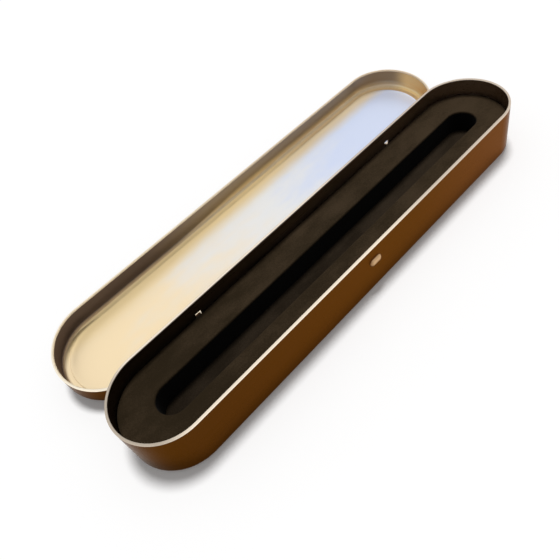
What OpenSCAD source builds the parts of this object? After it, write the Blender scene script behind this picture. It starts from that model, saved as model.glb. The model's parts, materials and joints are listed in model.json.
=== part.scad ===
// Hinged pen tin: a long case with full-round ends, deep-drawn from thin sheet.
// The tray holds a foam bed with one long pocket. A shallow lid hooks over two
// short wire pins at the back of the tray and is drawn here swung fully open.
//
// Frame: the origin is on the table, under the middle of the tray. +X runs along
// the case, +Y towards the hinge, +Z up. All sizes are in millimetres.

/* [Tray] */
// Length of the tray over its round ends
tray_l = 175; // [140:1:220]
// Width of the tray
tray_w = 32; // [28:0.5:44]
// Height of the tray to the top of its rolled rim
tray_h = 18.2; // [17:0.1:26]
// Thickness of the tray's sheet
tray_sheet = 0.35; // [0.25:0.05:0.45]
// Outside radius of the drawn edge between floor and wall
tray_edge_r = 1.6; // [1:0.1:2.4]
// Diameter of the roll that closes the rim, turned inwards
tray_roll_d = 0.85; // [0.8:0.05:1.2]

/* [Lid] */
// Height of the lid from its panel to its rim
lid_h = 8.75; // [8:0.05:9.2]
// Thickness of the lid's sheet
lid_sheet = 0.35; // [0.25:0.05:0.4]
// Outside radius of the drawn edge between panel and skirt
lid_edge_r = 1.8; // [1.2:0.1:1.9]
// Diameter of the roll that closes the lid's rim, turned inwards
lid_roll_d = 0.85; // [0.8:0.05:1]
// Gap between tray and lid roll at the front, which the swing of the lid needs
lid_gap_front = 1.1; // [1.05:0.05:1.6]
// Gap between tray and lid roll at the back
lid_gap_back = 0.15; // [0.1:0.05:0.3]
// Gap between tray and lid roll at each round end
lid_gap_end = 0.5; // [0.4:0.05:1]
// Gap in height between the tray's rim and the sunk field of the closed lid
lid_gap_top = 0.05; // [0.05:0.05:0.4]
// Flat margin between the lid's drawn edge and its sunk field
field_margin = 0.8; // [0.6:0.1:4]
// How far the middle field of the lid is pressed in below the margin
field_sink = 0.25; // [0.1:0.05:0.6]

/* [Hinge] */
// Distance of each hinge from the middle of the case
hinge_x = 47; // [25:1:52]
// Diameter of the wire pins
pin_d = 1; // [0.8:0.05:1.1]
// Play between a pin and the lid's tabs, on the radius
pin_play = 0.03; // [0.02:0.01:0.08]
// How far the pin's axis lies below the closed lid's rim
hinge_drop = 0.65; // [0.65:0.05:0.8]
// Gap between the tray's back wall and the rolled tabs
hinge_wall_gap = 0.12; // [0.1:0.01:0.2]
// Width of the knuckle that is cut and rolled out of the tray's wall
knuckle_w = 2; // [1.6:0.1:4]
// Width of each of the lid's two tabs at a hinge
tab_w = 2.6; // [2:0.1:5]
// Side gap between knuckle and tab
knuckle_side_gap = 0.15; // [0.1:0.05:0.3]
// How far a pin stands out past the tabs at each end
pin_proud = 0.3; // [0.15:0.05:0.6]
// How far the knuckle's root lies below the pin's axis
knuckle_root = 2.25; // [2:0.05:3.2]
// Height of the window that the knuckle leaves in the wall
window_h = 5.5; // [5:0.1:6.2]
// Angle that the lid turns from closed to resting on its stops
lid_open_angle = 171.5; // [165:0.5:171.5]

/* [Catch] */
// Length of the pressed catch in the middle of the front wall
catch_l = 5.2; // [4:0.1:9]
// Radius of the catch's rounded ridge
catch_r = 1.5; // [1.2:0.1:2]
// How far the catch stands out of the wall
catch_proud = 0.9; // [0.5:0.05:0.95]
// Height of the catch above the table
catch_z = 12; // [11.8:0.1:12.4]

/* [Foam] */
// Gap between the foam and the tray's wall
foam_gap = 0.15; // [0.1:0.05:0.5]
// Thickness of the uncut foam pad on the tray's floor
pad_t = 2.65; // [1.5:0.05:4]
// Thickness of the foam block that the pocket is cut through
bed_t = 8.5; // [5:0.1:10]
// Length of the pocket over its round ends
pocket_l = 151.5; // [100:0.5:160]
// Width of the pocket
pocket_w = 10.8; // [8:0.1:18]

/* [Hidden] */
$fn = 72;

// Slit that is left where a rolled edge or a rolled eye meets its own sheet
roll_slit = 0.12;
// Extra reach of a cut past the faces that it goes through
cut_over = 1;
// How far neighbouring parts of a sheet run into each other
lap = 0.3;
// Length of the chamfer at each end of a pin
pin_chamfer = 0.15;
// Clearance where a coaxial knuckle turns inside the lid's roll
notch_gap = 0.12;
// Side clearance of the window round the knuckle that was cut out of it
shear_gap = 0.1;
// Free angle between the knuckle's turned-down end and the open lid's roll
stop_free_angle = 1.5;
// Depth and thickness of the knuckle's turned-down end
stop_reach = 0.34;
stop_t = 0.35;

// Lid outline, and its centre, which lies off the tray's by half the gaps' difference
lid_l = tray_l + 2 * (lid_gap_end + lid_roll_d);
lid_w = tray_w + lid_gap_front + lid_gap_back + 2 * lid_roll_d;
lid_y = (lid_gap_back - lid_gap_front) / 2;

// Heights of the closed lid: under side of its margin, top of its margin, rim
lid_seat_z = tray_h + lid_gap_top + field_sink;
lid_top_z = lid_seat_z + lid_sheet;
lid_rim_z = lid_top_z - lid_h;
lid_roll_r = lid_roll_d / 2;

// Rolled eyes and the axis of both pins
eye_bore_r = pin_d / 2 + pin_play;
eye_r = eye_bore_r + lid_sheet;
hinge_y = tray_w / 2 + hinge_wall_gap + eye_r;
hinge_z = lid_rim_z - hinge_drop;
notch_w = knuckle_w + 2 * knuckle_side_gap;
pin_l = notch_w + 2 * (tab_w + pin_proud);
tab_x = (notch_w + tab_w) / 2;

// Lid roll seen from the pin's axis with the lid closed, and where its leading
// side stands once the lid is open: the knuckle's turned-down end stops it there
roll_dy = tray_w / 2 + lid_gap_back + lid_roll_r - hinge_y;
roll_dz = lid_rim_z + lid_roll_r - hinge_z;
roll_dist = norm([roll_dy, roll_dz]);
roll_lead = atan2(roll_dz, roll_dy) - lid_open_angle - asin(lid_roll_r / roll_dist);
stop_y = sqrt(pow(roll_dist, 2) - pow(lid_roll_r, 2)) * cos(roll_lead - stop_free_angle);

// Inside of the tray
inner_w = tray_w - 2 * tray_sheet;
foam_w = inner_w - 2 * foam_gap;
foam_l = tray_l - tray_w + foam_w;
pad_inset = tray_edge_r - tray_sheet;
bed_z = tray_sheet + pad_t;

// Round-ended outline of a given length and width, centred on the origin
module oblong(l, w) {
    square([l - w, w], center = true);
    for (side = [-1, 1]) {
        translate([side * (l - w) / 2, 0]) circle(d = w);
    }
}

// Sweeps a wall section round an oblong. The section's x is measured outwards
// from the oblong's edge, and its y is the height.
module swept_wall(l, w) {
    straight = l - w;
    for (side = [-1, 1]) {
        translate([side * straight / 2, 0, 0])
            rotate([0, 0, -side * 90])
                rotate_extrude(angle = 180)
                    translate([w / 2, 0]) children();
        mirror([0, side > 0 ? 0 : 1, 0])
            translate([-straight / 2, 0, 0])
                rotate([90, 0, 90])
                    linear_extrude(straight)
                        translate([w / 2, 0]) children();
    }
}

// Block to the left of x = 0 and above y = 0, with that corner rounded
module corner_block(corner_r, l, h) {
    difference() {
        translate([-l, 0]) square([l, h]);
        difference() {
            translate([-corner_r, -cut_over]) square(corner_r + cut_over);
            translate([-corner_r, corner_r]) circle(r = corner_r);
        }
    }
}

// Section of a sheet edge rolled inwards, with its top on y = 0 and its outside
// on x = 0. The sheet's end stops a slit short of the wall.
module roll_section(roll_d, sheet) {
    roll_r = roll_d / 2;
    translate([-roll_r, -roll_r]) {
        difference() {
            union() {
                circle(r = roll_r);
                translate([roll_r - sheet - roll_slit / 2, -roll_r - lap])
                    square([sheet + roll_slit / 2, roll_r + lap]);
            }
            circle(r = roll_r - sheet);
            translate([roll_r - sheet - roll_slit, -roll_r - lap - cut_over])
                square([roll_slit, roll_r + lap + cut_over]);
        }
    }
}

// Section of a drawn sheet: a floor of length l on y = 0, an edge of edge_r that
// turns up into a wall along x = 0, and a rolled rim on top of it at height h
module wall_section(l, h, edge_r, roll_d, sheet) {
    difference() {
        corner_block(edge_r, l, h - roll_d / 2);
        translate([-sheet, sheet]) corner_block(edge_r - sheet, l, h);
    }
    translate([0, h]) roll_section(roll_d, sheet);
}

// Rounded ridge along X with ball ends, turned from one section, with its axis
// as deep in the wall as the catch stands out of it
module catch_ridge(ridge_r) {
    half_chord = sqrt(pow(catch_r, 2) - pow(catch_r - catch_proud, 2));
    ridge_l = catch_l - 2 * half_chord + 2 * ridge_r;
    translate([0, catch_r - catch_proud - tray_w / 2, catch_z])
        rotate([0, 90, 0])
            rotate_extrude()
                intersection() {
                    rotate([0, 0, 90]) oblong(ridge_l, 2 * ridge_r);
                    translate([0, -ridge_l]) square([2 * ridge_r, 2 * ridge_l]);
                }
}

// Puts its children on the pin's axis at both hinges
module at_hinges() {
    for (side = [-1, 1]) {
        translate([side * hinge_x, hinge_y, hinge_z]) children();
    }
}

// Cylinder along X, centred on the origin
module rod_x(r, l) {
    rotate([0, 90, 0]) cylinder(r = r, h = l, center = true);
}

// Slice of a y-z outline, centred on x = 0
module slice_x(l) {
    translate([-l / 2, 0, 0])
        rotate([90, 0, 90])
            linear_extrude(l) children();
}

// Knuckle: a strap cut on three sides out of the back wall, set outwards and
// rolled over the pin. Its end is turned down and stops the open lid.
module knuckle() {
    wall_out = tray_w / 2 - hinge_y;
    wall_in = wall_out - tray_sheet;
    strap_out = tray_sheet - eye_r;
    root_z = -knuckle_root;
    set_from = root_z + 0.25;
    set_to = root_z + 0.95;
    difference() {
        union() {
            rod_x(eye_r, knuckle_w);
            slice_x(knuckle_w) {
                polygon([
                    [wall_in, root_z - shear_gap], [wall_out, root_z - shear_gap],
                    [wall_out, set_from], [strap_out, set_to], [strap_out, 0],
                    [-eye_r, 0], [-eye_r, set_to], [wall_in, set_from]
                ]);
                translate([stop_y - stop_t, -eye_r - stop_reach])
                    square([stop_t, stop_reach + eye_r - pin_d / 2 - roll_slit / 2]);
            }
        }
        rod_x(pin_d / 2, knuckle_w + 2 * cut_over);
        translate([0, strap_out + roll_slit / 2, -eye_r / 2 - pin_d / 4])
            cube([knuckle_w + 2 * cut_over, roll_slit, eye_r], center = true);
    }
}

// Tab: a strip of the lid's roll that runs down behind the pin and round it
module lid_tab() {
    strip_out = lid_sheet - eye_r;
    difference() {
        union() {
            rod_x(eye_r, tab_w);
            slice_x(tab_w) {
                translate([-eye_r, 0]) square([lid_sheet, roll_dz]);
            }
        }
        rod_x(eye_bore_r, tab_w + 2 * cut_over);
        translate([0, strip_out + roll_slit / 2, eye_r / 2])
            cube([tab_w + 2 * cut_over, roll_slit, eye_r], center = true);
    }
}

module tray() {
    color([0.42, 0.31, 0.22])
    union() {
        difference() {
            union() {
                swept_wall(tray_l, tray_w)
                    wall_section(tray_edge_r + lap, tray_h, tray_edge_r, tray_roll_d, tray_sheet);
                linear_extrude(tray_sheet)
                    oblong(tray_l - 2 * tray_edge_r, tray_w - 2 * tray_edge_r);
                intersection() {
                    catch_ridge(catch_r);
                    translate([-catch_l, -tray_w / 2 - catch_r, catch_z - 2 * catch_r])
                        cube([2 * catch_l, catch_r + tray_sheet, 4 * catch_r]);
                }
            }
            catch_ridge(catch_r - tray_sheet);
            at_hinges()
                translate([-knuckle_w / 2 - shear_gap, -eye_r - 2 * cut_over, -knuckle_root])
                    cube([knuckle_w + 2 * shear_gap, 2 * cut_over + eye_r / 2, window_h]);
        }
        at_hinges() knuckle();
    }
}

// The lid as it sits closed over the tray
module lid_closed() {
    field_inset = lid_edge_r + field_margin;
    field_l = lid_l - 2 * field_inset;
    field_w = lid_w - 2 * field_inset;
    difference() {
        translate([0, lid_y, 0]) {
            swept_wall(lid_l, lid_w)
                translate([0, lid_top_z])
                    mirror([0, 1]) {
                        wall_section(field_inset, lid_h, lid_edge_r, lid_roll_d, lid_sheet);
                        polygon([
                            [-lid_edge_r, 0], [-field_inset, 0],
                            [-field_inset - field_sink, field_sink],
                            [-field_inset - field_sink - lap, field_sink],
                            [-field_inset - field_sink - lap, field_sink + lid_sheet],
                            [-field_inset - field_sink, field_sink + lid_sheet],
                            [-field_inset, lid_sheet], [-lid_edge_r, lid_sheet]
                        ]);
                    }
            translate([0, 0, lid_seat_z - field_sink])
                linear_extrude(lid_sheet)
                    oblong(field_l - 2 * field_sink, field_w - 2 * field_sink);
        }
        at_hinges() rod_x(eye_r + notch_gap, notch_w);
    }
    at_hinges() {
        for (side = [-1, 1]) {
            translate([side * tab_x, 0, 0]) lid_tab();
        }
    }
}

module lid() {
    color([0.84, 0.79, 0.7])
    translate([0, hinge_y, hinge_z])
        rotate([-lid_open_angle, 0, 0])
            translate([0, -hinge_y, -hinge_z])
                lid_closed();
}

// One wire pin, with a small chamfer at each end
module hinge_pin(side) {
    color([0.7, 0.69, 0.67])
    translate([side * hinge_x, hinge_y, hinge_z]) {
        rod_x(pin_d / 2, pin_l - 2 * pin_chamfer);
        for (end = [-1, 1]) {
            rotate([0, end * 90, 0])
                translate([0, 0, pin_l / 2 - pin_chamfer])
                    cylinder(r1 = pin_d / 2, r2 = pin_d / 2 - pin_chamfer, h = pin_chamfer);
        }
    }
}

module hinge_pin_left() {
    hinge_pin(-1);
}

module hinge_pin_right() {
    hinge_pin(1);
}

module foam_bed() {
    color([0.13, 0.11, 0.1])
    translate([0, 0, bed_z])
        linear_extrude(bed_t)
            difference() {
                oblong(foam_l, foam_w);
                oblong(pocket_l, pocket_w);
            }
}

module foam_pad() {
    color([0.1, 0.09, 0.08])
    translate([0, 0, tray_sheet])
        linear_extrude(pad_t)
            oblong(foam_l - 2 * pad_inset, foam_w - 2 * pad_inset);
}

tray();
lid();
hinge_pin_left();
hinge_pin_right();
foam_bed();
foam_pad();
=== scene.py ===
# %% [markdown]
# # A hinged pen tin
#
# A pen tin is drawn from thin steel sheet: a tray with full-round ends, and a shallow lid that turns on
# two short wire pins. A bed of dark foam with one long pocket holds the pen. The metal pieces come with
# the frame at their exact shape, so this lesson gives them their finish, models the soft foam by hand and
# lights it all.

# %% Load the frame
import json
import math

import bmesh
import bpy
from mathutils import Matrix, Vector


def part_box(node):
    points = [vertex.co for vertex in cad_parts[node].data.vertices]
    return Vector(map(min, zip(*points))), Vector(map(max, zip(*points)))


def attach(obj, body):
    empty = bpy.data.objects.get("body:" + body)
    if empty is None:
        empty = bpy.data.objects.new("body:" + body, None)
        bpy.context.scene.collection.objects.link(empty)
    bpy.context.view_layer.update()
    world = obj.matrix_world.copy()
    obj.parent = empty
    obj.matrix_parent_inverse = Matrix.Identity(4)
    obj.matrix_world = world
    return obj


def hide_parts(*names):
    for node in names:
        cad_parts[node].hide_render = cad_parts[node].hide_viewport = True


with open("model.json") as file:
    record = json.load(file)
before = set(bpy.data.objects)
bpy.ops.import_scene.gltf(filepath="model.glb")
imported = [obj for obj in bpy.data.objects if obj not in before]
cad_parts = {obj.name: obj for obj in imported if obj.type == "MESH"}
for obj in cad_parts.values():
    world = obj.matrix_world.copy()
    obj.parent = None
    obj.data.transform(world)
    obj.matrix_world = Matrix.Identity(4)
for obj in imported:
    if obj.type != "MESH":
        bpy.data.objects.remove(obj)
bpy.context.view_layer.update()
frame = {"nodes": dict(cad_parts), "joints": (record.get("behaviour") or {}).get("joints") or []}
print("nodes:", sorted(frame["nodes"]))

# %% [markdown]
# Everything in the frame is in metres, but a pen tin is thought of in millimetres. One small function
# turns millimetres into metres. The main sizes are then read from the frame, so that a piece made here
# always fits the metal round it: the tray's outline, the seats of both foam pieces, and the axis that the
# lid turns on.

# %% Sizes taken from the frame
def mm(value):
    return value / 1000


tray_low, tray_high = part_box("tray")
bed_low, bed_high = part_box("foam_bed")
pad_low, pad_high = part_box("foam_pad")
hinge = frame["joints"][0]
hinge_point = Vector(hinge["pos_m"])
open_angle = math.radians(hinge["range_deg"][1])
tray_length = tray_high.x - tray_low.x
bed_length, bed_width = bed_high.x - bed_low.x, bed_high.y - bed_low.y
print(f"tray {tray_length * 1000:.1f} mm long, foam bed {bed_length * 1000:.1f} x {bed_width * 1000:.1f} mm")

# %% [markdown]
# The camera stands in front of the tray, a little to the left, and looks down at it as somebody who sits
# at a desk would, with the camera turned on its side a little so that the case runs from corner to
# corner. A direction is easier to read as two angles than as a matrix, so azimuth and elevation give the
# direction, and the roll is a last turn about it.

# %% Camera
CAMERA_PLACE = Vector((mm(-81.6), mm(-93.8), mm(140.8)))
CAMERA_AZIMUTH = math.radians(31.21)
CAMERA_ELEVATION = math.radians(-48.55)
CAMERA_ROLL = math.radians(19.01)
LENS_MM = 35.53
SENSOR_MM = 36

view_direction = Vector((
    math.sin(CAMERA_AZIMUTH) * math.cos(CAMERA_ELEVATION),
    math.cos(CAMERA_AZIMUTH) * math.cos(CAMERA_ELEVATION),
    math.sin(CAMERA_ELEVATION),
))
camera_data = bpy.data.cameras.new("camera")
camera_data.lens = LENS_MM
camera_data.sensor_width = SENSOR_MM
camera = bpy.data.objects.new("camera", camera_data)
bpy.context.scene.collection.objects.link(camera)
upright = view_direction.to_track_quat("-Z", "Y").to_matrix().to_4x4()
camera.matrix_world = Matrix.Translation(CAMERA_PLACE) @ upright @ Matrix.Rotation(-CAMERA_ROLL, 4, "Z")
bpy.context.scene.camera = camera
print("camera looks along", [round(part, 3) for part in view_direction])

# %% [markdown]
# A white sheet of card lies under the tin. Its own colour and a little glow that only the camera, mirrors
# and glass can see bring it up to white, and the glow is weak enough to leave the soft shadow on it. The
# world is done in the same way: white behind the object and in the metal's reflections, a plain soft fill
# for everything else.

# %% White card and white surroundings
CARD_SIZE = 6.0
CARD_COLOUR = (0.88, 0.88, 0.88, 1)
CARD_GLOW = 0.08
CARD_SHINE = 0.4
FILL_LIGHT = 0.30


def strength_by_ray(tree, for_light, for_camera, for_mirrors):
    """One strength for the light that falls on things, one for the camera, one for mirrors and glass."""
    path = tree.nodes.new("ShaderNodeLightPath")
    mirrors = tree.nodes.new("ShaderNodeMath")
    mirrors.operation = "MAXIMUM"
    tree.links.new(path.outputs["Is Glossy Ray"], mirrors.inputs[0])
    tree.links.new(path.outputs["Is Transmission Ray"], mirrors.inputs[1])
    strength = for_light
    for switch, value in ((mirrors.outputs[0], for_mirrors), (path.outputs["Is Camera Ray"], for_camera)):
        choice = tree.nodes.new("ShaderNodeMix")
        tree.links.new(switch, choice.inputs["Factor"])
        if isinstance(strength, bpy.types.NodeSocket):
            tree.links.new(strength, choice.inputs["A"])
        else:
            choice.inputs["A"].default_value = strength
        choice.inputs["B"].default_value = value
        strength = choice.outputs["Result"]
    return strength


world = bpy.data.worlds.new("white room")
world.use_nodes = True
bpy.context.scene.world = world
sky = world.node_tree.nodes["Background"]
sky.inputs["Color"].default_value = (1, 1, 1, 1)
sky_light = strength_by_ray(world.node_tree, for_light=FILL_LIGHT, for_camera=1, for_mirrors=1)
world.node_tree.links.new(sky_light, sky.inputs["Strength"])

bpy.ops.object.select_all(action="DESELECT")
bpy.ops.mesh.primitive_plane_add(size=CARD_SIZE)
card = bpy.context.object
card.name = "card"
card_white = bpy.data.materials.new("white card")
card_white.use_nodes = True
card_shader = card_white.node_tree.nodes["Principled BSDF"]
card_shader.inputs["Base Color"].default_value = CARD_COLOUR
card_shader.inputs["Roughness"].default_value = 1
card_shader.inputs["Specular IOR Level"].default_value = 0
card_shader.inputs["Emission Color"].default_value = (1, 1, 1, 1)
card_light = strength_by_ray(card_white.node_tree, for_light=0, for_camera=CARD_GLOW, for_mirrors=CARD_SHINE)
card_white.node_tree.links.new(card_light, card_shader.inputs["Emission Strength"])
card.data.materials.append(card_white)
print("card", CARD_SIZE, "m, fill light", FILL_LIGHT)

# %% [markdown]
# One wide, soft light hangs high behind the right end, like a big window, so that the shadow falls
# forward and the long pocket in the foam stays dark on its far side. A sun with a wide angle gives such a
# shadow, and it lights the whole card evenly, which a lamp close by can't do. View transform Standard
# keeps colours as they are mixed.

# %% Window light
WINDOW_AZIMUTH = math.radians(48)
WINDOW_ELEVATION = math.radians(78)
WINDOW_ANGLE = math.radians(14)
WINDOW_STRENGTH = 2.45

bpy.context.scene.view_settings.view_transform = "Standard"
window_direction = Vector((
    math.sin(WINDOW_AZIMUTH) * math.cos(WINDOW_ELEVATION),
    math.cos(WINDOW_AZIMUTH) * math.cos(WINDOW_ELEVATION),
    math.sin(WINDOW_ELEVATION),
))
window_data = bpy.data.lights.new("window", "SUN")
window_data.energy = WINDOW_STRENGTH
window_data.angle = WINDOW_ANGLE
window = bpy.data.objects.new("window", window_data)
window.rotation_euler = (-window_direction).to_track_quat("-Z", "Y").to_euler()
window.visible_glossy = False
bpy.context.scene.collection.objects.link(window)
print("window light from", [round(part, 2) for part in window_direction])

# %% [markdown]
# Every finish below is built from the same few steps, so they become small functions: start a material,
# link or type a value, add one sum, fade from one value to another, and mix two colours. Colours are
# written as the 0 to 255 values that a colour picker shows. Blender mixes them in linear light, which
# `colour` works out.

# %% Helpers for the finishes
def colour(red, green, blue):
    """The linear colour for three values from 0 to 255."""
    def linear(value):
        share = value / 255
        return share / 12.92 if share <= 0.04045 else ((share + 0.055) / 1.055) ** 2.4

    return (linear(red), linear(green), linear(blue), 1)


def new_finish(name, metallic, roughness):
    """A material with its node tree and its main shader."""
    material = bpy.data.materials.new(name)
    material.use_nodes = True
    shader = material.node_tree.nodes["Principled BSDF"]
    shader.inputs["Metallic"].default_value = metallic
    shader.inputs["Roughness"].default_value = roughness
    return material, material.node_tree, shader


def give(tree, socket, value):
    """Links a socket to another socket, or types a number or a colour into it."""
    if isinstance(value, bpy.types.NodeSocket):
        tree.links.new(value, socket)
    else:
        socket.default_value = value


def maths(tree, operation, *values):
    """One Math node."""
    node = tree.nodes.new("ShaderNodeMath")
    node.operation = operation
    for socket, value in zip(node.inputs, values):
        give(tree, socket, value)
    return node.outputs[0]


def fade(tree, value, start, end, low=0.0, high=1.0):
    """Goes smoothly from low to high as the value goes from start to end."""
    node = tree.nodes.new("ShaderNodeMapRange")
    node.interpolation_type = "SMOOTHSTEP"
    give(tree, node.inputs["Value"], value)
    give(tree, node.inputs["From Min"], start)
    give(tree, node.inputs["From Max"], end)
    give(tree, node.inputs["To Min"], low)
    give(tree, node.inputs["To Max"], high)
    return node.outputs["Result"]


def mixed(tree, share, first, second):
    """The first colour where share is 0, and the second where it is 1."""
    node = tree.nodes.new("ShaderNodeMix")
    node.data_type = "RGBA"
    give(tree, node.inputs[0], share)
    give(tree, node.inputs[6], first)
    give(tree, node.inputs[7], second)
    return node.outputs[2]


print("a mid brown in linear light:", [round(part, 3) for part in colour(87, 51, 16)])

# %% [markdown]
# The sheet metal has four looks: a bronze-brown outside, which is a painted reflection of a brown desk in
# the silver metal, bare silver on the rolled rim, a dark inside, and the pressed panel of the lid. They
# follow the drawn shape, so the finish asks where a point lies. Both halves have an oblong outline, which
# is a straight spine with a half circle round each end.
# The distance of a point to that spine says where it lies across the piece. Where wall and floor meet,
# the sheet goes round in a small arc, so `within_sheet` measures from the middle of that arc. Half the
# sheet's thickness is the border: what is nearer is the inside, and what is further is the outside, so
# the two colours never leak through the thin metal.

# %% Where a point lies on an oblong
SHEET = 0.35
BORDER_SHARE = 0.2


def places_mm(tree, turn=0.0, about=Vector((0, 0, 0))):
    """X, Y and Z of a point in millimetres, first turned about an axis along X."""
    coordinates = tree.nodes.new("ShaderNodeTexCoord")
    turned = tree.nodes.new("ShaderNodeMapping")
    turned.inputs["Scale"].default_value = (1000, 1000, 1000)
    turned.inputs["Rotation"].default_value = (turn, 0, 0)
    turned.inputs["Location"].default_value = (about - Matrix.Rotation(turn, 3, "X") @ about) * 1000
    split = tree.nodes.new("ShaderNodeSeparateXYZ")
    tree.links.new(coordinates.outputs["Object"], turned.inputs["Vector"])
    tree.links.new(turned.outputs["Vector"], split.inputs["Vector"])
    return turned.outputs["Vector"], split.outputs["X"], split.outputs["Y"], split.outputs["Z"]


def from_spine(tree, x, y, half_spine, middle_y=0.0):
    """How far a point is from the spine of an oblong, in millimetres."""
    beyond = maths(tree, "MAXIMUM", maths(tree, "SUBTRACT", maths(tree, "ABSOLUTE", x), half_spine), 0)
    across = maths(tree, "SUBTRACT", y, middle_y)
    squares = maths(tree, "ADD", maths(tree, "POWER", beyond, 2), maths(tree, "MULTIPLY", across, across))
    return maths(tree, "SQRT", squares)


def within_sheet(tree, spine, height, radius, edge_radius):
    """1 inside a drawn half and 0 outside. The height is counted from the start of the rounded edge."""
    out = maths(tree, "MAXIMUM", maths(tree, "SUBTRACT", spine, radius - edge_radius), 0)
    up = maths(tree, "MAXIMUM", height, 0)
    squares = maths(tree, "ADD", maths(tree, "MULTIPLY", out, out), maths(tree, "MULTIPLY", up, up))
    middle = edge_radius - SHEET * 0.5
    return fade(tree, maths(tree, "SQRT", squares), middle, middle - SHEET * BORDER_SHARE)


TRAY_RADIUS = 16.0
tray_half_spine = tray_length * 500 - TRAY_RADIUS
tray_height = tray_high.z * 1000
print(f"tray spine {tray_half_spine * 2:.1f} mm, round it a radius of {TRAY_RADIUS} mm")

# %% [markdown]
# Rolled sheet is never perfectly even. A noise that is stretched along the case gives the faint lines of
# the rolling mill, and a second, finer one breaks up the gloss. They change the roughness a little and
# dent the surface by a few thousandths of a millimetre, which is enough to make a reflection look like
# metal and not like plastic.

# %% Rolling marks
MARK_DEPTH = mm(0.004)
MARK_LINES, MARK_GRAIN = 2.2, 3.5
LINES_STRETCH, NO_STRETCH = (0.03, 1, 1), (1, 1, 1)
LINES_SHARE, GRAIN_SHARE = 0.7, 0.3
MARK_RANGE, GLOSS_CHANGE = (0.25, 0.75), (-0.05, 0.07)


def noise(tree, place, stretch, scale, detail=4.0, roughness=0.6):
    """A noise value near 0.5, with its pattern stretched along X, Y and Z."""
    stretched = tree.nodes.new("ShaderNodeMapping")
    stretched.inputs["Scale"].default_value = stretch
    texture = tree.nodes.new("ShaderNodeTexNoise")
    texture.inputs["Scale"].default_value = scale
    texture.inputs["Detail"].default_value = detail
    texture.inputs["Roughness"].default_value = roughness
    tree.links.new(place, stretched.inputs["Vector"])
    tree.links.new(stretched.outputs["Vector"], texture.inputs["Vector"])
    return texture.outputs["Fac"]


def dent(tree, shader, height, depth):
    """Bumps the surface by a height value. The depth is in metres."""
    bump = tree.nodes.new("ShaderNodeBump")
    bump.inputs["Distance"].default_value = depth
    bump.inputs["Strength"].default_value = 1
    tree.links.new(height, bump.inputs["Height"])
    tree.links.new(bump.outputs["Normal"], shader.inputs["Normal"])


def rolling_marks(tree, shader, place, satin, depth=MARK_DEPTH):
    """Uneven gloss round the satin value, and shallow lines along the case."""
    lines = maths(tree, "MULTIPLY", noise(tree, place, LINES_STRETCH, MARK_LINES), LINES_SHARE)
    grain = maths(tree, "MULTIPLY", noise(tree, place, NO_STRETCH, MARK_GRAIN), GRAIN_SHARE)
    both = maths(tree, "ADD", lines, grain)
    gloss = fade(tree, both, *MARK_RANGE, *GLOSS_CHANGE)
    give(tree, shader.inputs["Roughness"], maths(tree, "ADD", satin, gloss))
    dent(tree, shader, both, depth)
    return both


print(f"rolling marks are up to {MARK_DEPTH * 1000:.3f} mm deep")

# %% [markdown]
# The outside is a warm bronze, a painted reflection of a brown desk in the silver metal, and painted light
# makes it a little lighter towards the right end, with faint streaks from the rolling marks. Tray and lid
# wear the same painted bronze, so it is a function of its own.
# Where a finish changes along the case, a pair of numbers says where the change starts and where it ends,
# in millimetres from the middle.

# %% Bronze painted reflection
# Painted reflection of a brown desk, darker on the left and lighter to the right as painted light.
BRONZE_LEFT = colour(70, 40, 13)
BRONZE_MIDDLE = colour(86, 50, 17)
BRONZE_RIGHT = colour(103, 61, 30)
BRONZE_LEFT_HALF, BRONZE_RIGHT_HALF = (-88, 10), (10, 80)
STREAKS, STREAK_SHARE = (0.35, 0.8), 0.16
EDGE_TINT = (0.60, 0.53, 0.48, 1)
SATIN = 0.3


def bronze(tree, x, marks):
    """The painted bronze reflection along the case, lighter to the right, with its streaks."""
    left_half = mixed(tree, fade(tree, x, *BRONZE_LEFT_HALF), BRONZE_LEFT, BRONZE_MIDDLE)
    whole = mixed(tree, fade(tree, x, *BRONZE_RIGHT_HALF), left_half, BRONZE_RIGHT)
    return mixed(tree, fade(tree, marks, *STREAKS, 0, STREAK_SHARE), whole, BRONZE_RIGHT)


def dress(node, material):
    """Gives a node of the frame one finish in all its slots."""
    mesh = frame["nodes"][node].data
    if not mesh.materials:
        mesh.materials.append(material)
    for index in range(len(mesh.materials)):
        mesh.materials[index] = material
    print(node, "wears", material.name)


print("bronze in linear light:", [round(part, 3) for part in BRONZE_MIDDLE])

# %% [markdown]
# The tray's rim shows bare metal: bright along the left and a little broader to the right, while painted
# shade makes it greyer to the right and dull round the left end. The pressed ridge of the catch, where the
# lid springs over it, carries a painted highlight. Rim and ridge have no border in the metal, only a height
# and a distance at which the painted bronze gives way.

# %% Bare rim with painted shade, and the catch's painted highlight
BARE_RIM = colour(240, 226, 206)
# Painted shade: the rim greyer to the right and dull round the left end.
SHADED_RIM_RIGHT = colour(206, 192, 176)
SHADED_RIM_LEFT_END = colour(186, 174, 158)
RIM_BAND_LEFT, RIM_BAND_RIGHT = 0.56, 0.76
RIM_BROADENS, RIM_SHADE_RIGHT_SPAN, RIM_SHADE_LEFT_SPAN = (-70, 30), (0, 34), (-72, -82)
BORDER_BLUR = 0.1
# Painted highlight on the pressed ridge of the catch.
CATCH_HIGHLIGHT = colour(188, 154, 116)
CATCH_FOOT, CATCH_CREST = 0.02, 0.4
CATCH_HIGHLIGHT_RANGE = (0, 0.9)
CATCH_LEFT_END, LEFT_END_HIGHLIGHT = (-2.6, -1.2), (0.35, 1)


def with_catch_highlight(tree, x, y, walls):
    """Paints a highlight over what stands out of the front wall."""
    crest = fade(tree, y, -TRAY_RADIUS - CATCH_FOOT, -TRAY_RADIUS - CATCH_CREST, *CATCH_HIGHLIGHT_RANGE)
    highlight_share = maths(tree, "MULTIPLY", crest, fade(tree, x, *CATCH_LEFT_END, *LEFT_END_HIGHLIGHT))
    return mixed(tree, highlight_share, walls, CATCH_HIGHLIGHT)


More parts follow.
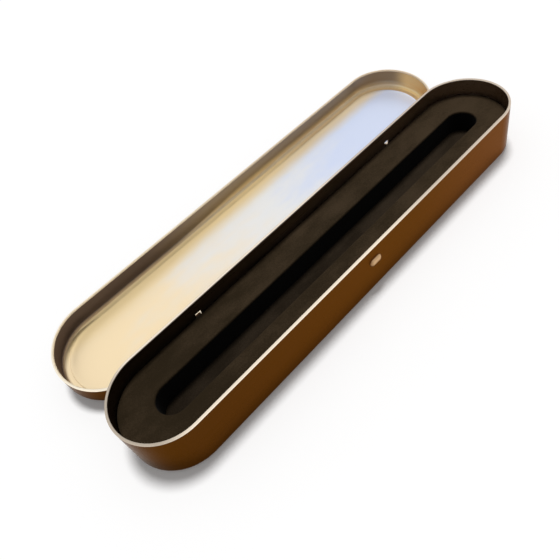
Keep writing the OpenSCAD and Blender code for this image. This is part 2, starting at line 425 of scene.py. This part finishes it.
def with_bare_rim(tree, x, z, walls):
    """Lays bare metal over the tray's rim, with painted shade greyer to the right and dull at the left end.
    """
    above = maths(tree, "ADD", z, fade(tree, x, *RIM_BROADENS, RIM_BAND_LEFT, RIM_BAND_RIGHT))
    rim = fade(tree, above, tray_height - BORDER_BLUR, tray_height + BORDER_BLUR)
    bare = mixed(tree, fade(tree, x, *RIM_SHADE_RIGHT_SPAN), BARE_RIM, SHADED_RIM_RIGHT)
    bare = mixed(tree, fade(tree, x, *RIM_SHADE_LEFT_SPAN), bare, SHADED_RIM_LEFT_END)
    return mixed(tree, rim, walls, bare)


print(f"bare rim {RIM_BAND_LEFT} mm high on the left, {RIM_BAND_RIGHT} mm on the right")

# %% [markdown]
# The inside of the tray's wall looks nearly black, although its metal isn't, because dark foam is all
# that it mirrors; its colour is painted darker than the metal as a painted reflection of that foam, and
# painted light makes it lighter to the right. A knuckle is cut out of the back wall and rolled round its
# pin, and what lies behind the back wall up to the pins is painted dark as painted shade. One shader does
# the whole tray, with a narrow fade at the place where each border lies.

# %% Tray finish
# Painted reflection of the dark foam, lighter to the right as painted light.
INSIDE_LEFT = colour(84, 72, 58)
INSIDE_RIGHT = colour(150, 130, 112)
INSIDE_LIGHTENS = (-88, 80)
TRAY_EDGE_RADIUS = 1.6
# Painted shade behind the back wall, up to the pins.
KNUCKLE_SHADE = colour(34, 28, 23)
pin_y = hinge_point.y * 1000
BEHIND_WALL = (TRAY_RADIUS + 0.02, TRAY_RADIUS + 0.08)
UP_TO_PIN = (pin_y + 0.2, pin_y - 0.1)


def with_knuckle_shade(tree, y, walls):
    """Paints shade over what lies between the back wall and the pins."""
    back = maths(tree, "MULTIPLY", fade(tree, y, *BEHIND_WALL), fade(tree, y, *UP_TO_PIN))
    return mixed(tree, back, walls, KNUCKLE_SHADE)


def finish_tray():
    material, tree, shader = new_finish("tray bronze and bare rim", metallic=1, roughness=SATIN)
    shader.inputs["Specular Tint"].default_value = EDGE_TINT
    place, x, y, z = places_mm(tree)
    marks = rolling_marks(tree, shader, place, SATIN)
    spine = from_spine(tree, x, y, tray_half_spine)
    below = maths(tree, "SUBTRACT", TRAY_EDGE_RADIUS, z)
    inside = within_sheet(tree, spine, below, TRAY_RADIUS, TRAY_EDGE_RADIUS)
    inner_wall = mixed(tree, fade(tree, x, *INSIDE_LIGHTENS), INSIDE_LEFT, INSIDE_RIGHT)
    walls = mixed(tree, inside, bronze(tree, x, marks), inner_wall)
    walls = with_catch_highlight(tree, x, y, walls)
    walls = with_knuckle_shade(tree, y, walls)
    give(tree, shader.inputs["Base Color"], with_bare_rim(tree, x, z, walls))
    return material


dress("tray", finish_tray())

# %% [markdown]
# The lid is drawn from the same sheet. Inside, its pressed panel is silver under a clear varnish, with
# painted reflections on it: cream at one end, bluish at the other, and gold along its far edge, where it
# mirrors the darker wall. A slow noise lets each border of these painted reflections wander, by a
# centimetre or more along the panel and by up to a millimetre across it. A straight fade would look too
# even.

# %% Panel of the lid
# Painted reflections on the silver panel.
CREAM_REFLECTION = colour(248, 226, 186)
SILVER = colour(233, 233, 232)
BLUISH_REFLECTION = colour(211, 221, 244)
GOLD_REFLECTION_LEFT = colour(250, 224, 170)
GOLD_REFLECTION_RIGHT = colour(234, 214, 178)
CREAM_TO_SILVER, SILVER_TO_BLUISH = (-68, 5), (0, 50)
GOLD_PALES, GOLD_BEGINS = (0, 45), (-8, -14.5)
WANDER_ALONG, WANDER_ACROSS = 60, 2
ALONG_SCALE, ACROSS_SCALE = 0.14, 0.2
DRIFT_STRETCH = (0.4, 1, 1)


def wandering(tree, place, value, reach, scale):
    """A place value that drifts a little, so that a border made from it isn't straight."""
    drift = maths(tree, "SUBTRACT", noise(tree, place, DRIFT_STRETCH, scale, detail=2), 0.5)
    return maths(tree, "ADD", value, maths(tree, "MULTIPLY", drift, reach))


def lid_panel(tree, place, x, y):
    """The pressed panel: silver with painted reflections, cream, bluish, and gold along its far edge."""
    along = wandering(tree, place, x, WANDER_ALONG, ALONG_SCALE)
    left_half = mixed(tree, fade(tree, along, *CREAM_TO_SILVER), CREAM_REFLECTION, SILVER)
    panel = mixed(tree, fade(tree, along, *SILVER_TO_BLUISH), left_half, BLUISH_REFLECTION)
    across = wandering(tree, place, y, WANDER_ACROSS, ACROSS_SCALE)
    gold = mixed(tree, fade(tree, x, *GOLD_PALES), GOLD_REFLECTION_LEFT, GOLD_REFLECTION_RIGHT)
    return mixed(tree, fade(tree, across, *GOLD_BEGINS), panel, gold)


print("the panel turns silver between", CREAM_TO_SILVER, "mm and bluish between", SILVER_TO_BLUISH, "mm")

# %% [markdown]
# The wall round the panel is a darker grey-brown, a painted reflection that gets lighter to the right.
# Painted highlights brighten it where it curves into the panel, in the fillet, and round the right end,
# most of all on the side of the hinge, with painted shade on the other side of that end. The fillet
# reaches higher up the wall on the right, so its start and its end fade along the case as well.

# %% Wall inside the lid
LID_CEILING_Z = 18.50
FILLET_STARTS = (LID_CEILING_Z - 1, LID_CEILING_Z - 3.6)
FILLET_ENDS = (LID_CEILING_Z - 0.3, LID_CEILING_Z - 1.1)
# Painted reflection on the wall, and painted highlights in the fillet and at the right end.
WALL_LEFT = colour(92, 83, 86)
WALL_RIGHT = colour(146, 136, 126)
FILLET_HIGHLIGHT_LEFT = colour(206, 184, 152)
FILLET_HIGHLIGHT_RIGHT = colour(224, 210, 184)
END_SHADED = colour(146, 121, 90)
END_HIGHLIGHT = colour(226, 186, 124)
END_FILLET_HIGHLIGHT = colour(252, 234, 188)
WALL_LIGHTENS, FILLET_DEEPENS = (-48, -6), (-30, 10)
RIGHT_END, HIGHLIGHT_SIDE = (70, 82), (-9, -2)


def lid_wall(tree, x, y, z):
    """The wall inside the lid, with painted highlights in its fillet and at its right end."""
    along = fade(tree, x, *WALL_LIGHTENS)
    wall = mixed(tree, along, WALL_LEFT, WALL_RIGHT)
    fillet = mixed(tree, along, FILLET_HIGHLIGHT_LEFT, FILLET_HIGHLIGHT_RIGHT)
    at_end, end_on = fade(tree, x, *RIGHT_END), fade(tree, y, *HIGHLIGHT_SIDE)
    wall = mixed(tree, at_end, wall, mixed(tree, end_on, END_SHADED, END_HIGHLIGHT))
    fillet = mixed(tree, maths(tree, "MULTIPLY", at_end, end_on), fillet, END_FILLET_HIGHLIGHT)
    start = fade(tree, x, *FILLET_DEEPENS, *FILLET_STARTS)
    end = fade(tree, x, *FILLET_DEEPENS, *FILLET_ENDS)
    return mixed(tree, fade(tree, z, start, end), wall, fillet)


print("the fillet deepens between", FILLET_DEEPENS, "mm")

# %% [markdown]
# The lid stands open, so its places are first turned back to where they lie when the lid is shut: then
# its outline is flat again, and the same distance to a spine works. The margin between fillet and panel
# is satin: a rough metal gathers light from all round, so this narrow strip stays light beside a dark
# wall. Its pale gold is painted light as well, which makes up for the wall's shade on it and turns into
# the painted gold reflection to the right. The panel's varnish makes it less metallic, and the rim is
# bare metal again, a little paler on the left.

# %% Lid finish
LID_RADIUS = 17.475
LID_MIDDLE_Y = -0.475
LID_RIM_Z = 10.10
LID_EDGE_RADIUS = 1.8
FLOOR_RADIUS = LID_RADIUS - LID_EDGE_RADIUS
FLOOR_BEGINS = (FLOOR_RADIUS + 0.9, FLOOR_RADIUS + 0.2)
PANEL_RADIUS = FLOOR_RADIUS - 0.8
PANEL_SINK = 0.25
PANEL_METAL, METAL_FADE = 0.35, 2
LID_SATIN, DRAWN_SATIN = 0.34, 0.85
# Painted light: the margin's pale gold makes up for the wall's shade on it.
MARGIN_PAINTED_LIGHT = colour(255, 240, 200)
MARGIN_BORDERS, MARGIN_BLUR = (FLOOR_RADIUS + 0.6, PANEL_RADIUS - 0.4), 0.4
MARGIN_BROADENS, MARGIN_DULLS = (-82, -64), (10, 50)
LID_RIM_LEFT = colour(246, 236, 216)
LID_RIM_RIGHT = colour(234, 220, 198)
LID_RIM_BAND, LID_RIM_PALES = 0.62, (-30, 20)
lid_low, lid_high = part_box("lid")
lid_half_spine = (lid_high.x - lid_low.x) * 500 - LID_RADIUS


def finish_lid():
    material, tree, shader = new_finish("lid bronze and silver inside", metallic=1, roughness=LID_SATIN)
    shader.inputs["Specular Tint"].default_value = EDGE_TINT
    place, x, y, z = places_mm(tree, open_angle, hinge_point)
    spine = from_spine(tree, x, y, lid_half_spine, LID_MIDDLE_Y)
    sunk = fade(tree, spine, PANEL_RADIUS, PANEL_RADIUS - PANEL_SINK, 0, PANEL_SINK)
    above = maths(tree, "SUBTRACT", maths(tree, "ADD", z, sunk), LID_CEILING_Z + SHEET - LID_EDGE_RADIUS)
    inside = within_sheet(tree, spine, above, LID_RADIUS, LID_EDGE_RADIUS)

    border = fade(tree, x, *MARGIN_BROADENS, *MARGIN_BORDERS)
    on_margin = fade(tree, spine, border, maths(tree, "ADD", border, MARGIN_BLUR))
    off_wall = fade(tree, spine, LID_RADIUS - SHEET, LID_RADIUS - SHEET * 2)
    soft = maths(tree, "MULTIPLY", inside, maths(tree, "MULTIPLY", off_wall, on_margin))
    marks = rolling_marks(tree, shader, place, fade(tree, soft, 0, 1, LID_SATIN, DRAWN_SATIN))

    margin = mixed(tree, fade(tree, x, *MARGIN_DULLS), MARGIN_PAINTED_LIGHT, GOLD_REFLECTION_RIGHT)
    panel = mixed(tree, on_margin, lid_panel(tree, place, x, y), margin)
    floor = fade(tree, spine, *FLOOR_BEGINS)
    inner = mixed(tree, floor, lid_wall(tree, x, y, z), panel)
    sheet = mixed(tree, inside, bronze(tree, x, marks), inner)
    varnished = maths(tree, "MULTIPLY", inside, maths(tree, "SUBTRACT", 1, on_margin))
    shine = fade(tree, spine, PANEL_RADIUS, PANEL_RADIUS - METAL_FADE, 0, PANEL_METAL)
    give(tree, shader.inputs["Metallic"], fade(tree, varnished, 0, 1, 1, shine))

    rim_border = LID_RIM_Z + LID_RIM_BAND
    rim = fade(tree, z, rim_border + BORDER_BLUR, rim_border - BORDER_BLUR)
    bare = mixed(tree, fade(tree, x, *LID_RIM_PALES), LID_RIM_LEFT, LID_RIM_RIGHT)
    give(tree, shader.inputs["Base Color"], mixed(tree, rim, sheet, bare))
    return material


dress("lid", finish_lid())

# %% [markdown]
# The two hinge pins are cut from bright steel wire. Drawn wire carries fine lines along its length, which
# a noise stretched along X gives, with a little more gloss than the sheet.

# %% Pin finish
WIRE_DARK = colour(176, 172, 164)
WIRE_LIGHT = colour(222, 218, 208)
WIRE_SATIN = 0.24


def finish_pins():
    material, tree, shader = new_finish("drawn steel wire", metallic=1, roughness=WIRE_SATIN)
    place = places_mm(tree)[0]
    marks = rolling_marks(tree, shader, place, WIRE_SATIN, depth=MARK_DEPTH / 2)
    give(tree, shader.inputs["Base Color"], mixed(tree, marks, WIRE_DARK, WIRE_LIGHT))
    return material


pin_steel = finish_pins()
for side in ("left", "right"):
    dress(f"hinge_pin_{side}", pin_steel)

# %% [markdown]
# The bed that holds the pen is a thick strip of dark foam with full-round ends, cut through by one long
# pocket. The top of it is a ring between two oblongs. A circle makes an oblong in two steps: pull its two
# halves apart, and divide the two long edges that this leaves. Both oblongs have as many points, so that
# the ring can be bridged.

# %% An oblong outline
ROUND_POINTS = 96
LONG_CUTS = 60


def deselect_mesh():
    bpy.ops.mesh.select_mode(type="VERT")
    bpy.ops.mesh.select_all(action="DESELECT")


def oblong_outline(length, width, middle_x, z):
    """Adds an oblong outline to the mesh that is being edited. Its points stay selected."""
    bpy.ops.mesh.primitive_circle_add(
        vertices=ROUND_POINTS, radius=width / 2, location=(middle_x, 0, z),
        rotation=(0, 0, math.pi / ROUND_POINTS))
    mesh = bmesh.from_edit_mesh(bpy.context.object.data)
    new_points = [point for point in mesh.verts if point.select]
    for side in (-1, 1):
        for point in mesh.verts:
            point.select = point in new_points and (point.co.x - middle_x) * side > 0
        mesh.select_flush_mode()
        bpy.ops.transform.translate(value=(side * (length - width) / 2, 0, 0))
    long_edge = length - width
    for edge in mesh.edges:
        edge.select = edge.calc_length() > long_edge * 0.9 and edge.verts[0] in new_points
    bpy.ops.mesh.subdivide(number_cuts=LONG_CUTS)


print("an oblong has", ROUND_POINTS + 2 * LONG_CUTS, "points")

# %% [markdown]
# The same steps make both foam pieces: outlines, a top face between them, and an extrusion down to the
# full depth. Foam is cut with a wire or a die, so its walls are upright, but its upper edges are never
# sharp: they give and round over, which a narrow bevel on the top loops shows. The pad under the bed has
# no pocket. A pen rests on it.

# %% Foam pieces
EDGE_ROUNDING = mm(0.45)
POCKET_LENGTH = mm(151.5)
POCKET_WIDTH = mm(10.8)
POCKET_MIDDLE_X = mm(0.25)
RING_CUTS = 8


def empty_piece(name):
    """A new piece at the origin, with no mesh yet, in edit mode."""
    bpy.ops.object.select_all(action="DESELECT")
    bpy.ops.mesh.primitive_plane_add(size=mm(1))
    piece = bpy.context.object
    piece.name = piece.data.name = name
    bpy.ops.object.mode_set(mode="EDIT")
    bpy.ops.mesh.select_all(action="SELECT")
    bpy.ops.mesh.delete(type="VERT")
    return piece


def extrude_down(top, bottom):
    """Gives a flat top face its full depth."""
    bpy.ops.mesh.select_all(action="SELECT")
    bpy.ops.mesh.extrude_region_move(TRANSFORM_OT_translate={"value": (0, 0, bottom - top)})
    bpy.ops.mesh.select_all(action="SELECT")
    bpy.ops.mesh.normals_make_consistent(inside=False)


def round_top_edges(top):
    """Bevels the loops where the top face meets an upright wall."""
    bpy.ops.mesh.select_mode(type="EDGE")
    bpy.ops.mesh.select_all(action="DESELECT")
    mesh = bmesh.from_edit_mesh(bpy.context.object.data)
    near = mm(0.01)
    for edge in mesh.edges:
        level = all(abs(point.co.z - top) < near for point in edge.verts)
        edge.select = level and any(abs(face.normal.z) < 0.5 for face in edge.link_faces)
    bpy.ops.mesh.bevel(offset=EDGE_ROUNDING, segments=4, profile=0.5)


def make_foam_bed():
    piece = empty_piece("foam_bed_with_pocket")
    oblong_outline(bed_length, bed_width, 0, bed_high.z)
    oblong_outline(POCKET_LENGTH, POCKET_WIDTH, POCKET_MIDDLE_X, bed_high.z)
    bpy.ops.mesh.select_all(action="SELECT")
    bpy.ops.mesh.bridge_edge_loops(number_cuts=RING_CUTS, interpolation="LINEAR")
    extrude_down(bed_high.z, bed_low.z)
    round_top_edges(bed_high.z)
    bpy.ops.object.mode_set(mode="OBJECT")
    return piece


def make_foam_pad():
    piece = empty_piece("foam_pad_below")
    length, width = pad_high.x - pad_low.x, pad_high.y - pad_low.y
    strip_width = mm(1)
    oblong_outline(length, width, 0, pad_high.z)
    oblong_outline(length - width + strip_width, strip_width, 0, pad_high.z)
    bpy.ops.mesh.select_all(action="SELECT")
    bpy.ops.mesh.bridge_edge_loops(number_cuts=RING_CUTS, interpolation="LINEAR")
    deselect_mesh()
    for point in bmesh.from_edit_mesh(piece.data).verts:
        in_middle = abs(point.co.y) < strip_width and abs(point.co.x) < (length - width) / 2 + strip_width
        point.select = in_middle
    bpy.ops.transform.resize(value=(1, 0, 1))
    bpy.ops.mesh.select_all(action="SELECT")
    bpy.ops.mesh.remove_doubles(threshold=mm(0.001))
    extrude_down(pad_high.z, pad_low.z)
    round_top_edges(pad_high.z)
    bpy.ops.object.mode_set(mode="OBJECT")
    return piece


foam_bed = make_foam_bed()
foam_pad = make_foam_pad()
for piece in (foam_bed, foam_pad):
    print(piece.name, len(piece.data.polygons), "faces")

# %% [markdown]
# Foam is full of cut cells, and no knife leaves it quite flat. A displacement of a few hundredths of a
# millimetre over some centimetres makes the top swell gently, and a finer one roughens the edge of the
# pocket. Both are real geometry, kept well inside the play between foam and tray. What a foam lies on
# presses its underside flat again, and so does the bed with the top of the pad. The finest cells are left
# to the finish.

# %% Uneven foam
SWELL_SIZE, SWELL_HEIGHT = mm(14), mm(0.16)
RIPPLE_SIZE, RIPPLE_HEIGHT = mm(1.6), mm(0.10)
SMOOTH_BELOW = math.radians(40)


def unevenness(piece, name, size, strength):
    """Moves the surface in and out by a cloud pattern and applies it."""
    pattern = bpy.data.textures.new(name, "CLOUDS")
    pattern.noise_scale = size
    swell = piece.modifiers.new(name, "DISPLACE")
    swell.texture = pattern
    swell.texture_coords = "LOCAL"
    swell.mid_level = 0.5
    swell.strength = strength
    bpy.context.view_layer.objects.active = piece
    bpy.ops.object.modifier_apply(modifier=swell.name)


def press_flat(piece, bottom, top=math.inf):
    """Moves points that the unevenness left below the bottom or above the top back onto it."""
    for point in piece.data.vertices:
        point.co.z = min(max(point.co.z, bottom), top)


for piece in (foam_bed, foam_pad):
    bpy.ops.object.select_all(action="DESELECT")
    piece.select_set(True)
    bpy.context.view_layer.objects.active = piece
    finer = piece.modifiers.new("finer", "SUBSURF")
    finer.subdivision_type = "SIMPLE"
    finer.levels = finer.render_levels = 1
    bpy.ops.object.modifier_apply(modifier=finer.name)
    unevenness(piece, piece.name + " swell", SWELL_SIZE, SWELL_HEIGHT)
    unevenness(piece, piece.name + " ripple", RIPPLE_SIZE, RIPPLE_HEIGHT)
    bpy.ops.object.shade_smooth_by_angle(angle=SMOOTH_BELOW)
    print(piece.name, len(piece.data.polygons), "faces after the unevenness")
press_flat(foam_bed, bed_low.z)
press_flat(foam_pad, pad_low.z, pad_high.z)

# %% [markdown]
# The foam is a very dark brown-grey that drinks up light. Its colour varies in soft patches, with fine
# specks painted where single cells catch the light, and painted light makes it a touch lighter to the
# right. Cells a few tenths of a millimetre wide dent the surface. A little sheen lifts it at grazing
# angles, as the open cell walls do on real foam. Painted shade turns the walls of the pocket darker still
# below a set depth under the top, and the pad at the bottom of the pocket wears painted-shade copies of
# the bed's colours. The pad's shade depth is given as deeper than the pad, so that it keeps one colour
# all through.

# %% Foam finish
BED_DARK = colour(40, 32, 21)
BED_LIGHT = colour(60, 49, 36)
# Painted shade: the pad at the bottom of the pocket is a darker copy of the bed.
PAD_SHADED_DARK = colour(30, 24, 17)
PAD_SHADED_LIGHT = colour(48, 40, 31)
# Painted shade on the pocket's walls below the shade depth.
POCKET_WALL_SHADE = colour(4, 3, 2)
BED_SHADE_DEPTH = 0.35
PAD_SHADE_DEPTH = 20
CELLS_PER_MM = 2.6
CELL_DEPTH = mm(0.09)
PATCH_STRETCH, PATCH_SCALE, PATCH_SHARE = (0.5, 1, 1), 0.12, 0.65
SPECK_SCALE, SPECK_SHARE = 2.4, 0.35
# Painted light: the foam a touch lighter to the right.
PAINTED_LIGHT_ALONG, PAINTED_LIGHT_BY = (-80, 70), (-0.08, 0.06)
SHADE_RANGE = (0.32, 0.68)
FOAM_ROUGHNESS, FOAM_SPECULAR = 0.95, 0.07
FOAM_SHEEN, SHEEN_ROUGHNESS = 0.01, 0.5


def finish_foam(name, dark, light, shade_depth):
    """Foam with painted shade that darkens its walls below a depth under the top."""
    material, tree, shader = new_finish(name, metallic=0, roughness=FOAM_ROUGHNESS)
    place, x, _, z = places_mm(tree)
    patches = noise(tree, place, PATCH_STRETCH, PATCH_SCALE, detail=3)
    specks = noise(tree, place, NO_STRETCH, SPECK_SCALE, detail=2)
    patchy = maths(tree, "MULTIPLY", patches, PATCH_SHARE)
    shade = maths(tree, "ADD", patchy, maths(tree, "MULTIPLY", specks, SPECK_SHARE))
    shade = maths(tree, "ADD", shade, fade(tree, x, *PAINTED_LIGHT_ALONG, *PAINTED_LIGHT_BY))
    skin = mixed(tree, fade(tree, shade, *SHADE_RANGE), dark, light)
    bed_top = bed_high.z * 1000
    in_shade = fade(tree, z, bed_top - shade_depth, bed_top - shade_depth * 3)
    give(tree, shader.inputs["Base Color"], mixed(tree, in_shade, skin, POCKET_WALL_SHADE))
    shader.inputs["Sheen Weight"].default_value = FOAM_SHEEN
    shader.inputs["Sheen Roughness"].default_value = SHEEN_ROUGHNESS
    shader.inputs["Specular IOR Level"].default_value = FOAM_SPECULAR
    cells = tree.nodes.new("ShaderNodeTexVoronoi")
    cells.inputs["Scale"].default_value = CELLS_PER_MM
    tree.links.new(place, cells.inputs["Vector"])
    dent(tree, shader, maths(tree, "ADD", cells.outputs["Distance"], specks), CELL_DEPTH)
    return material


for piece, node, dark, light, shade_depth in (
        (foam_bed, "foam_bed", BED_DARK, BED_LIGHT, BED_SHADE_DEPTH),
        (foam_pad, "foam_pad", PAD_SHADED_DARK, PAD_SHADED_LIGHT, PAD_SHADE_DEPTH)):
    piece.data.materials.append(finish_foam(node.replace("_", " ") + " skin", dark, light, shade_depth))
    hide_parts(node)
    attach(piece, "case_base")
    print(piece.name, "stands for", node)
